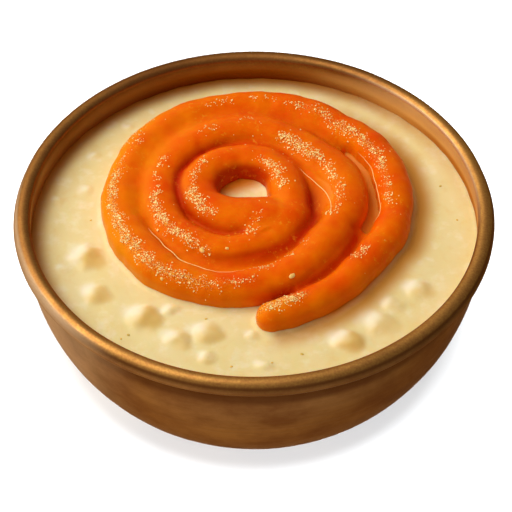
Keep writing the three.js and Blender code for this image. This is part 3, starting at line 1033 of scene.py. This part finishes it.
SQUARE = ((-1, -1), (1, -1), (1, 1), (-1, 1))
CUBE_CORNERS = np.array([(x, y, z) for z in (-1, 1) for x, y in SQUARE], float)
CUBE_FACES = [(0, 3, 2, 1), (4, 5, 6, 7)]
CUBE_FACES += [(k, (k + 1) % 4, 4 + (k + 1) % 4, 4 + k) for k in range(4)]


def turned_to(normal, angle):
    """The turn that stands a thing on a skin, after a turn about itself."""
    stand = normal.to_track_quat("Z", "Y").to_matrix()
    return np.array(stand @ Matrix.Rotation(angle, 3, "Z"))


def add_crystal(points, faces, place, normal, size, draw):
    """Adds one uneven crystal, nearly flat on the skin, to the points and faces."""
    lean = Vector(draw.normal(0.0, LEAN, 3)) + normal
    turned = turned_to(lean, draw.uniform(0, math.tau))
    stretch = size * draw.uniform(*CRYSTAL_SHAPES)
    corners = CUBE_CORNERS * stretch * draw.uniform(0.7, 1.0, (8, 3))
    start = len(points)
    points.extend(np.array(place) + corners @ turned.T)
    faces.extend(tuple(start + corner for corner in face) for face in CUBE_FACES)


def make_sugar_piece(settings):
    """Grains of sugar in clumps on the strand, thickest along its bands."""
    lowest = bpy.context.scene.dish_cream.level / MM + LOWEST_GRAIN
    draw = np.random.default_rng(settings.seed)
    strand, skin = Strand(), skin_of("jalebi_coil")
    points, faces = [], []

    def settle(x, y):
        place, normal = drop_on(skin, x, y)
        if place is None or place.z < lowest:
            return
        size = settings.grain / MM * draw.lognormal(0.0, SIZE_SPREAD)
        add_crystal(points, faces, place + normal * size * 0.2, normal, size, draw)

    for start, finish, middle, spread, grains in SUGAR_BANDS:
        for _ in range(max(1, round(settings.plenty * grains / CLUMP_GRAINS))):
            turning = draw.uniform(start, finish)
            x, y = strand.place(turning, middle + spread * draw.normal())
            for _ in range(draw.poisson(CLUMP_GRAINS)):
                scatter = CLUMP_SPREAD * draw.normal(size=2)
                settle(x + scatter[0], y + scatter[1])
    for _ in range(round(settings.plenty * STRAY_GRAINS)):
        turning = draw.uniform(TAIL_START, CURL_FINISH)
        settle(*strand.place(turning, draw.uniform(-0.8, 0.8)))
    material = sugar_material(settings)
    add_piece("sugar_grains", points, faces, material, smooth=False)


def crumb(size, seed):
    """Points and faces of a small uneven lump of some length, width and thickness."""
    points = [(0.0, 0.0, -1.0)]
    for layer in range(1, CRUMB_LAYERS):
        tilt = math.pi * layer / CRUMB_LAYERS - math.pi / 2
        for side in range(CRUMB_SIDES):
            angle = math.tau * side / CRUMB_SIDES
            flat = (math.cos(tilt) * math.cos(angle), math.cos(tilt) * math.sin(angle))
            points.append((*flat, math.sin(tilt)))
    points = np.array([*points, (0.0, 0.0, 1.0)])
    points *= (1 + 0.28 * rough_values(points * 1.6, 1.0, seed))[:, None]
    faces = closed_rings(CRUMB_LAYERS - 1, CRUMB_SIDES, 0, len(points) - 1, 1)
    return points * np.divide(size, 2), faces


def drop_crumbs(name, skin, crumbs, material):
    """One piece of crumbs on a skin, each given by x, y, size, seed and turn."""
    points, faces = [], []
    for x, y, size, seed, turn in crumbs:
        place, normal = drop_on(skin, x, y)
        if place is None:
            raise RuntimeError(f"nothing lies under {x}, {y} for {name}")
        crumb_points, crumb_faces = crumb(size, seed)
        start = len(points)
        points.extend(crumb_points @ turned_to(normal, turn).T + np.array(place))
        faces.extend([start + corner for corner in face] for face in crumb_faces)
    add_piece(name, points, faces, material)


def make_flake_piece(settings):
    """Pale flakes stuck on the strand."""
    strand = Strand()
    flakes = []
    for seed, (turning, out_part, *size) in enumerate(FLAKES, 11):
        place = strand.place(turning, out_part)
        flakes.append((*place, (*size, FLAKE_THICKNESS), seed, math.radians(turning)))
    # the flakes carry a faint painted glow
    material = grain_material("pale_flake", settings.flake, 0.45, 0.3, 0.15)
    drop_crumbs("pale_flakes", skin_of("jalebi_coil"), flakes, material)


def make_speck_pieces(settings):
    """Crumbs of nut and saffron on the cream, one piece for each colour."""
    for kind, tint in (("olive", settings.olive), ("straw", settings.straw)):
        crumbs = [
            (x, y, (size, size * 0.7, SPECK_THICKNESS), 31 + order, 2.4 * order)
            for order, (x, y, size, speck_kind) in enumerate(SPECKS)
            if speck_kind == kind
        ]
        material = grain_material(f"{kind}_crumb", tint, 0.5, 0.2)
        drop_crumbs(f"{kind}_crumbs", skin_of("rabri_cream"), crumbs, material)


def thread_skin(places, normals, half_width, first):
    """Points and faces of a thin thread along places, pointed at both ends."""
    for _ in range(3):
        places[1:-1] = (places[:-2] + 2 * places[1:-1] + places[2:]) / 4
    along = np.gradient(places, axis=0)
    along /= np.linalg.norm(along, axis=1)[:, None]
    across = np.cross(along, normals)
    part = np.linspace(0, math.pi, len(places))
    width = half_width * np.sqrt(np.sin(part)).clip(0.1)
    angles = np.arange(THREAD_SIDES) * math.tau / THREAD_SIDES
    rings = [
        place
        + wide * (np.outer(np.cos(angles), side) + 0.8 * np.outer(np.sin(angles), out))
        for place, side, out, wide in zip(places, across, normals, width)
    ]
    faces = rings_to_faces(len(rings), THREAD_SIDES, first)
    last = first + (len(rings) - 1) * THREAD_SIDES
    faces.append([first + side for side in range(THREAD_SIDES)])
    faces.append([last + side for side in reversed(range(THREAD_SIDES))])
    return np.concatenate(rings), faces


def make_thread_piece(settings):
    """Thin pale threads of syrup that have set along edges of the strand, partly
    painted highlight lines, with a faint painted glow.
    """
    strand, skin = Strand(), skin_of("jalebi_coil")
    courses = []
    for start, finish, out_part, half_width in SYRUP_EDGES:
        steps = round((finish - start) * DEGREE_LENGTH / THREAD_PITCH)
        turnings = np.linspace(start, finish, steps)
        courses.append(([strand.place(t, out_part) for t in turnings], half_width))
    along = np.linspace(0, len(SYRUP_LIP) - 1, round(SYRUP_LIP_LENGTH / THREAD_PITCH))
    lip = [smooth_value(column, along) for column in np.transpose(SYRUP_LIP)]
    courses.append((zip(*lip), SYRUP_LIP_WIDTH))
    points, faces = [], []
    for course, half_width in courses:
        found = [drop_on(skin, x, y) for x, y in course]
        found = [(place, normal) for place, normal in found if place is not None]
        places = np.array([place + normal * THREAD_LIFT for place, normal in found])
        normals = np.array([normal for _, normal in found])
        thread, thread_faces = thread_skin(places, normals, half_width, len(points))
        points.extend(thread)
        faces.extend(thread_faces)
    # pale syrup threads with a faint painted glow, standing partly for highlight lines
    material = grain_material("set_syrup", settings.syrup, 0.2, 0.2, 0.2)
    add_piece("syrup_threads", points, faces, material)


# ---- materials


class Finish:
    """The node tree of a new material or world, with short ways to add nodes."""

    def __init__(self, name, kind="materials", shader="Principled BSDF"):
        self.owner = getattr(bpy.data, kind).new(name)
        self.owner.use_nodes = True
        self.tree = self.owner.node_tree
        self.shader = self.tree.nodes[shader]
        self.spots = self.add("ShaderNodeTexCoord").outputs

    def add(self, kind, sockets=None, **settings):
        """Adds a node, with plain values or other nodes' outputs on its sockets."""
        node = self.tree.nodes.new(kind)
        for name, value in settings.items():
            setattr(node, name, value)
        for name, value in (sockets or {}).items():
            self.put(node, name, value)
        return node

    def put(self, node, name, value):
        """Sets one input socket, by link if the value is an output socket."""
        socket = node.inputs[name]
        if isinstance(value, bpy.types.NodeSocket):
            self.tree.links.new(value, socket)
        else:
            socket.default_value = (*value, 1.0) if socket.type == "RGBA" else value

    def clouds(self, scale, detail=3.0, roughness=0.5, stretch=None):
        """Soft random values from 0 to 1, stretched by a scale for each axis."""
        spot = self.spots["Object"]
        if stretch:
            moved = self.add("ShaderNodeMapping", {"Vector": spot, "Scale": stretch})
            spot = moved.outputs["Vector"]
        sockets = {"Vector": spot, "Scale": scale, "Detail": detail}
        sockets["Roughness"] = roughness
        return self.add("ShaderNodeTexNoise", sockets).outputs["Fac"]

    def attribute(self, name):
        """A number stored on the piece's points."""
        return self.add("ShaderNodeAttribute", attribute_name=name).outputs["Fac"]

    def between(self, value, low, high, to_high=1.0, to_low=0.0):
        """A value moved from one range to another, and held inside it."""
        sockets = {"Value": value, "From Min": low, "From Max": high}
        sockets |= {"To Min": to_low, "To Max": to_high}
        return self.add("ShaderNodeMapRange", sockets).outputs["Result"]

    def reckon(self, operation, a, b):
        """One sum on two values."""
        node = self.add("ShaderNodeMath", {0: a, 1: b}, operation=operation)
        return node.outputs["Value"]

    def times(self, a, b):
        """Two values multiplied."""
        return self.reckon("MULTIPLY", a, b)

    def plus(self, a, b):
        """Two values added."""
        return self.reckon("ADD", a, b)

    def coats(self, tint, *coats):
        """A colour with others laid over it, each given as how much and which."""
        for part, over in coats:
            mixed = self.add(
                "ShaderNodeMix", {0: part, 6: tint, 7: over}, data_type="RGBA"
            )
            tint = mixed.outputs[2]
        return tint

    def relief(self, *layers):
        """Fine relief in layers: what sets its height, its depth and its strength."""
        normal = None
        for height, distance, strength in layers:
            sockets = {"Height": height, "Distance": distance, "Strength": strength}
            if normal:
                sockets["Normal"] = normal
            normal = self.add("ShaderNodeBump", sockets).outputs["Normal"]
        return normal

    def dress(self, **sockets):
        """Puts values on the shader, named with spaces for underscores."""
        for name, value in sockets.items():
            self.put(self.shader, name.replace("_", " "), value)
        return self.owner


def brass_material(settings):
    """Aged brass: brushed round the wall, brown with patina, bright on the bead, with
    painted sheen, highlights and shade laid on by bearing round the bowl.
    """
    finish = Finish("aged_brass")
    between, attribute, times = finish.between, finish.attribute, finish.times
    brushed = finish.clouds(1.0, 3.0, stretch=(9.0, 9.0, 900.0))
    bands = finish.clouds(1.0, 5.0, 0.62, stretch=(34.0, 34.0, 75.0))
    blotch = finish.clouds(70.0, 5.0, 0.62)
    worn = finish.clouds(300.0, 4.0, 0.7)
    grain = finish.clouds(1500.0, 2.0)
    polish, inside, pale = (attribute(name) for name in ("polish", "inside", "pale"))
    aged = finish.plus(bands, times(blotch, 0.6))
    body = finish.coats(
        settings.brass,
        (between(aged, 0.66, 0.96), settings.patina),
        (between(brushed, 0.4, 0.65, 0.2), settings.patina),
    )
    speckled = finish.coats(
        settings.bead,
        (between(grain, 0.38, 0.62, 0.5), settings.patina),
        (between(worn, 0.42, 0.66, 0.35), settings.patina),
        # painted shade that dims the bead's highlight on the left
        (between(attribute("left"), 0.0, 1.0, 0.45), settings.soot),
    )
    # The inner wall: random aged streaks, painted shade at the back, painted shade low
    # at the right and a painted highlight high at the right
    streaked = finish.coats(
        settings.inside,
        (between(aged, 0.55, 1.05, 0.4), settings.brass),
        (attribute("inner_shade"), settings.inner_shade_tint),
        (attribute("low"), settings.brass),
        (times(pale, 0.9), settings.haze),
    )
    # painted sheen, made patchy by the aged brass
    painted_light = times(attribute("haze"), between(aged, 1.0, 0.7, 0.95, 0.6))
    tint = finish.coats(
        body,
        (between(polish, 0.35, 0.95), speckled),
        # painted shade of the rim's lines, the inner lip and the outer wall
        (attribute("soot"), settings.soot),
        # painted sheen laid over the brass
        (painted_light, settings.haze),
        (inside, streaked),
    )
    rough = settings.roughness
    gloss = between(blotch, 0.3, 0.7, rough + 0.1, rough - 0.08)
    return finish.dress(
        Base_Color=tint,
        Metallic=between(times(pale, inside), 0.0, 1.0, 0.45, 0.9),
        Roughness=finish.plus(gloss, between(polish, 0.5, 0.95, 0.09)),
        Normal=finish.relief(
            (brushed, 0.00012, 0.5), (grain, 0.00006, 0.4), (blotch, 0.0006, 0.35)
        ),
        Specular_Tint=(0.75, 0.42, 0.16),
    )


def cream_material(settings):
    """Thick wet cream with random paler and darker patches, paler on the lit side of
    its clots and darker on the other (painted highlight and painted shade), a warm
    painted shadow beside the coil, painted shade and orange bounce between the coil's
    turns, and a painted shadow of the wall at the brim."""
    finish = Finish("clotted_cream")
    between, attribute = finish.between, finish.attribute
    cloud = finish.clouds(90.0)
    lumps = finish.clouds(210.0, 3.0, 0.55)
    fine = finish.clouds(700.0, 2.0)
    paler = tuple(0.7 * a + 0.3 * b for a, b in zip(settings.cream, settings.curd))
    tint = finish.coats(
        settings.cream,
        (between(cloud, 0.3, 0.8), paler),
        (between(lumps, 0.53, 0.70, 0.45), settings.curd),
        (between(lumps, 0.45, 0.28, 0.30), settings.whey),
        # painted highlight and painted shade of the clots
        (attribute("curd"), settings.curd),
        (attribute("whey"), settings.whey),
        # painted shadow of the coil
        (attribute("stain"), settings.stain),
        # painted shade and bounce light between the turns
        (attribute("soak"), settings.soak),
        # painted shadow of the wall at the brim
        (attribute("wall_shadow"), settings.painted_light),
    )
    rough = settings.roughness
    return finish.dress(
        Base_Color=tint,
        Roughness=between(cloud, 0.3, 0.7, rough + 0.06, rough - 0.04),
        Normal=finish.relief((cloud, 0.0005, 0.15), (fine, 0.00005, 0.2)),
        Subsurface_Weight=0.35,
        Subsurface_Radius=(1.0, 0.62, 0.3),
        Subsurface_Scale=0.003,
        Specular_IOR_Level=0.3,
        Specular_Tint=(1.0, 0.82, 0.5),
    )


def batter_material(settings):
    """Fried batter soaked in syrup: orange, with painted deep red shade between the
    turns, a painted amber glow on the lit side, paler lips partly painted as highlight,
    crinkled and paler where sugar has set."""
    finish = Finish("soaked_batter")
    between, attribute, times = finish.between, finish.attribute, finish.times
    sugar = attribute("sugar")
    pores = finish.clouds(700.0, 3.0, 0.6)
    crystal = finish.clouds(2600.0, 1.0)
    frost = times(between(finish.clouds(1100.0, 2.0), 0.48, 0.62), sugar)
    patchy = times(
        between(finish.clouds(620.0, 4.0, 0.7), 0.56, 0.66, 0.55),
        between(finish.clouds(95.0, 1.0), 0.50, 0.62),
    )
    pits = between(finish.clouds(2300.0, 1.0), 0.52, 0.42, 0.75)
    dots = between(finish.clouds(3000.0, 1.0), 0.54, 0.66)
    tint = finish.coats(
        settings.batter,
        (between(finish.clouds(130.0), 0.3, 0.72), settings.glow),
        # painted glow on the lit side, the front and the foot
        (between(attribute("rim"), 0.0, 1.0, 0.8), settings.edge),
        # painted shade in the folds
        (attribute("crease"), settings.crease),
        # film lips: paler thin batter, partly painted highlight
        (attribute("thin"), settings.thin),
        (times(frost, 0.3), settings.frost),
        (patchy, settings.frost),
        # painted shade between the sugar grains
        (times(pits, sugar), settings.crease),
        (times(dots, between(sugar, 0.2, 0.9, 0.8)), settings.dots),
    )
    rough = settings.roughness
    gloss = between(pores, 0.3, 0.7, rough + 0.08, rough - 0.06)
    return finish.dress(
        Base_Color=tint,
        Roughness=finish.plus(gloss, between(sugar, 0.0, 1.0, -0.1)),
        Normal=finish.relief(
            (pores, 0.00012, 0.35), (times(crystal, sugar), 0.00018, 0.8)
        ),
        Subsurface_Weight=0.45,
        Subsurface_Radius=(1.0, 0.25, 0.03),
        Subsurface_Scale=0.0028,
        IOR=1.35,
        Specular_IOR_Level=0.35,
        Specular_Tint=(1.0, 0.40, 0.02),
    )


def sugar_material(settings):
    """Set sugar: grains whose up-facing tops are painted pale as lit highlight on the
    clear sugar and whose sides are coated in syrup, with a faint painted glow.
    """
    finish = Finish("set_sugar")
    cloud = finish.clouds(2300.0, 1.0)
    facing = finish.add("ShaderNodeNewGeometry").outputs["True Normal"]
    upness = finish.add("ShaderNodeSeparateXYZ", {"Vector": facing}).outputs["Z"]
    # Up-facing tops take the pale sugar colour as a painted highlight; the other sides
    # keep the syrup's amber
    clear = finish.times(
        finish.between(upness, 0.15, 0.55), finish.between(cloud, 0.62, 0.52)
    )
    return finish.dress(
        Base_Color=finish.coats(settings.amber, (clear, settings.sugar)),
        Roughness=finish.between(cloud, 0.3, 0.7, 0.35, 0.15),
        Normal=finish.relief((cloud, 0.00004, 0.3)),
        Specular_IOR_Level=1.0,
        Specular_Tint=(1.0, 0.8, 0.45),
        # a faint painted glow
        Emission_Color=(1.0, 0.55, 0.15),
        Emission_Strength=0.08,
    )


def grain_material(name, tint, roughness, variation, glow=0.0):
    """Small bright grains or crumbs that differ a little from each other, with an
    optional painted glow.
    """
    finish = Finish(name)
    cloud = finish.clouds(1400.0, 2.0)
    deeper = tuple(channel * (1 - variation) for channel in tint)
    return finish.dress(
        Base_Color=finish.coats(tint, (finish.between(cloud, 0.35, 0.65), deeper)),
        Roughness=finish.between(cloud, 0.3, 0.7, roughness + 0.12, roughness),
        Normal=finish.relief((cloud, 0.00005, 0.3)),
        Specular_Tint=(1.0, 0.75, 0.4),
        Subsurface_Weight=0.2,
        Subsurface_Radius=(1.0, 0.6, 0.3),
        Subsurface_Scale=0.0006,
        # painted glow of the given strength
        Emission_Color=tint,
        Emission_Strength=glow,
    )


def floor_material(settings):
    """Plain pale floor with the faintest grain."""
    finish = Finish("pale_floor")
    dimmer = tuple(channel * 0.985 for channel in settings.floor)
    grain = finish.between(finish.clouds(3.0, 2.0), 0.3, 0.7)
    tint = finish.coats(settings.floor, (grain, dimmer))
    return finish.dress(Base_Color=tint, Roughness=0.8, Specular_IOR_Level=0.1)


# ---- stage

FLOOR_HALF = 2.5  # metres
# Each light: bearing from +X and elevation in degrees, distance and size in metres
KEY_LIGHT = (160.0, 54.0, 0.9, 0.95)
SWEEP_LIGHT = (-92.0, 76.0, 1.2, 0.60)
FRONT_LIGHT = (-86.0, 28.0, 1.3, 0.60)


def make_floor(settings):
    """A level floor that the dish stands on."""
    mesh = bpy.data.meshes.new("floor")
    corners = [(FLOOR_HALF * x, FLOOR_HALF * y, 0) for x, y in SQUARE]
    mesh.from_pydata(corners, [], [(0, 1, 2, 3)])
    mesh.materials.append(floor_material(settings))
    floor = bpy.data.objects.new("floor", mesh)
    bpy.context.scene.collection.objects.link(floor)
    floor.visible_glossy = False
    floor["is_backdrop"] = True
    return floor


def add_soft_light(name, placing, watts, lit, tint=(1.0, 1.0, 1.0)):
    """A round soft light over the middle of the dish, which lights some pieces."""
    bearing, elevation, distance, size = placing
    data = bpy.data.lights.new(name, "AREA")
    data.shape, data.size, data.energy, data.color = "DISK", size, watts, tint
    light = bpy.data.objects.new(name, data)
    receivers = bpy.data.collections.new(f"{name}_lights")
    for piece in lit:
        receivers.objects.link(piece)
    light.light_linking.receiver_collection = receivers
    bearing, elevation = math.radians(bearing), math.radians(elevation)
    level = math.cos(elevation)
    x, y = math.cos(bearing) * level, math.sin(bearing) * level
    from_middle = Vector((x, y, math.sin(elevation)))
    light.location = from_middle * distance + Vector((0, 0, BOWL_HEIGHT * MM))
    light.rotation_euler = from_middle.to_track_quat("Z", "Y").to_euler()
    bpy.context.scene.collection.objects.link(light)


def make_world(strength, tint, tilt):
    """Light from all round, stronger from the left than from the right."""
    sky = Finish("studio", "worlds", "Background")
    parts = sky.add("ShaderNodeSeparateXYZ", {"Vector": sky.spots["Generated"]})
    ends = (strength * (1 - tilt), strength * (1 + tilt))
    slope = sky.between(parts.outputs["X"], -1.0, 1.0, *ends)
    bpy.context.scene.world = sky.dress(Color=tint, Strength=slope)


def make_camera():
    """Looks down on the dish from the front."""
    data = bpy.data.cameras.new("camera")
    data.lens = CAMERA_LENS
    data.clip_start, data.clip_end = 0.05, 20.0
    camera = bpy.data.objects.new("camera", data)
    forward = -math.cos(CAMERA_ELEVATION) * CAMERA_DISTANCE
    up = math.sin(CAMERA_ELEVATION) * CAMERA_DISTANCE + RIM_LEVEL
    place = Vector((0.0, forward, up))
    camera.location = place * MM
    back = place - Vector(CAMERA_AIM)
    camera.rotation_euler = back.to_track_quat("Z", "Y").to_euler()
    bpy.context.scene.collection.objects.link(camera)
    bpy.context.scene.camera = camera


# ---- operators


class DISH_OT_bowl(bpy.types.Operator):
    """Make the brass bowl"""

    bl_idname = "dish.bowl"
    bl_label = "Brass Bowl"

    def execute(self, context):
        make_bowl_piece(context.scene.dish_bowl)
        return {"FINISHED"}


class DISH_OT_cream(bpy.types.Operator):
    """Fill the bowl with rabri"""

    bl_idname = "dish.cream"
    bl_label = "Rabri"

    def execute(self, context):
        make_cream_piece(context.scene.dish_cream)
        return {"FINISHED"}


class DISH_OT_coil(bpy.types.Operator):
    """Make the coiled jalebi"""

    bl_idname = "dish.coil"
    bl_label = "Jalebi"

    def execute(self, context):
        make_coil_piece(context.scene.dish_coil)
        return {"FINISHED"}


class DISH_OT_sugar(bpy.types.Operator):
    """Put sugar grains, flakes and threads of syrup on the jalebi"""

    bl_idname = "dish.sugar"
    bl_label = "Sugar and Flakes"

    def execute(self, context):
        for make in (make_sugar_piece, make_flake_piece, make_thread_piece):
            make(context.scene.dish_sugar)
        return {"FINISHED"}


class DISH_OT_crumbs(bpy.types.Operator):
    """Drop crumbs of nut and saffron on the rabri"""

    bl_idname = "dish.crumbs"
    bl_label = "Crumbs"

    def execute(self, context):
        make_speck_pieces(context.scene.dish_sugar)
        return {"FINISHED"}


class DISH_OT_stage(bpy.types.Operator):
    """Set the floor, the light and the camera"""

    bl_idname = "dish.stage"
    bl_label = "Stage"

    def execute(self, context):
        settings = context.scene.dish_stage
        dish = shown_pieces()
        floor = make_floor(settings)
        make_world(settings.fill, settings.fill_tint, settings.fill_tilt)
        add_soft_light("key", KEY_LIGHT, settings.key, dish, settings.key_tint)
        add_soft_light("sweep", SWEEP_LIGHT, settings.sweep, [floor])
        add_soft_light("front", FRONT_LIGHT, settings.front, [floor])
        make_camera()
        context.scene.view_settings.view_transform = "Standard"
        return {"FINISHED"}


class DISH_PT_panel(bpy.types.Panel):
    """Lists the pieces of the dish, with their settings"""

    bl_idname = "DISH_PT_panel"
    bl_label = "Jalebi Dish"
    bl_space_type = "VIEW_3D"
    bl_region_type = "UI"
    bl_category = "Jalebi Dish"

    def draw(self, context):
        for operator, group in LISTED:
            box = self.layout.box()
            box.operator(operator.bl_idname)
            settings = getattr(context.scene, group)
            for name in settings.__annotations__:
                box.prop(settings, name)


SETTINGS = {
    "dish_bowl": BowlSettings,
    "dish_cream": CreamSettings,
    "dish_coil": CoilSettings,
    "dish_sugar": SugarSettings,
    "dish_stage": StageSettings,
}
LISTED = [
    (DISH_OT_bowl, "dish_bowl"),
    (DISH_OT_cream, "dish_cream"),
    (DISH_OT_coil, "dish_coil"),
    (DISH_OT_sugar, "dish_sugar"),
    (DISH_OT_crumbs, "dish_sugar"),
    (DISH_OT_stage, "dish_stage"),
]
CLASSES = [*SETTINGS.values(), *(operator for operator, _ in LISTED), DISH_PT_panel]


def register():
    """Makes the classes and the scene's settings known."""
    for cls in CLASSES:
        bpy.utils.register_class(cls)
    for name, group in SETTINGS.items():
        setattr(bpy.types.Scene, name, PointerProperty(type=group))


def unregister():
    """Takes the settings and the classes away again."""
    for name in SETTINGS:
        delattr(bpy.types.Scene, name)
    for cls in reversed(CLASSES):
        bpy.utils.unregister_class(cls)


def main():
    """Makes the whole dish in order."""
    register()
    bpy.ops.dish.bowl()
    bpy.ops.dish.cream()
    bpy.ops.dish.coil()
    bpy.ops.dish.sugar()
    bpy.ops.dish.crumbs()
    bpy.ops.dish.stage()
    bpy.context.view_layer.update()


if __name__ == "__main__":
    main()
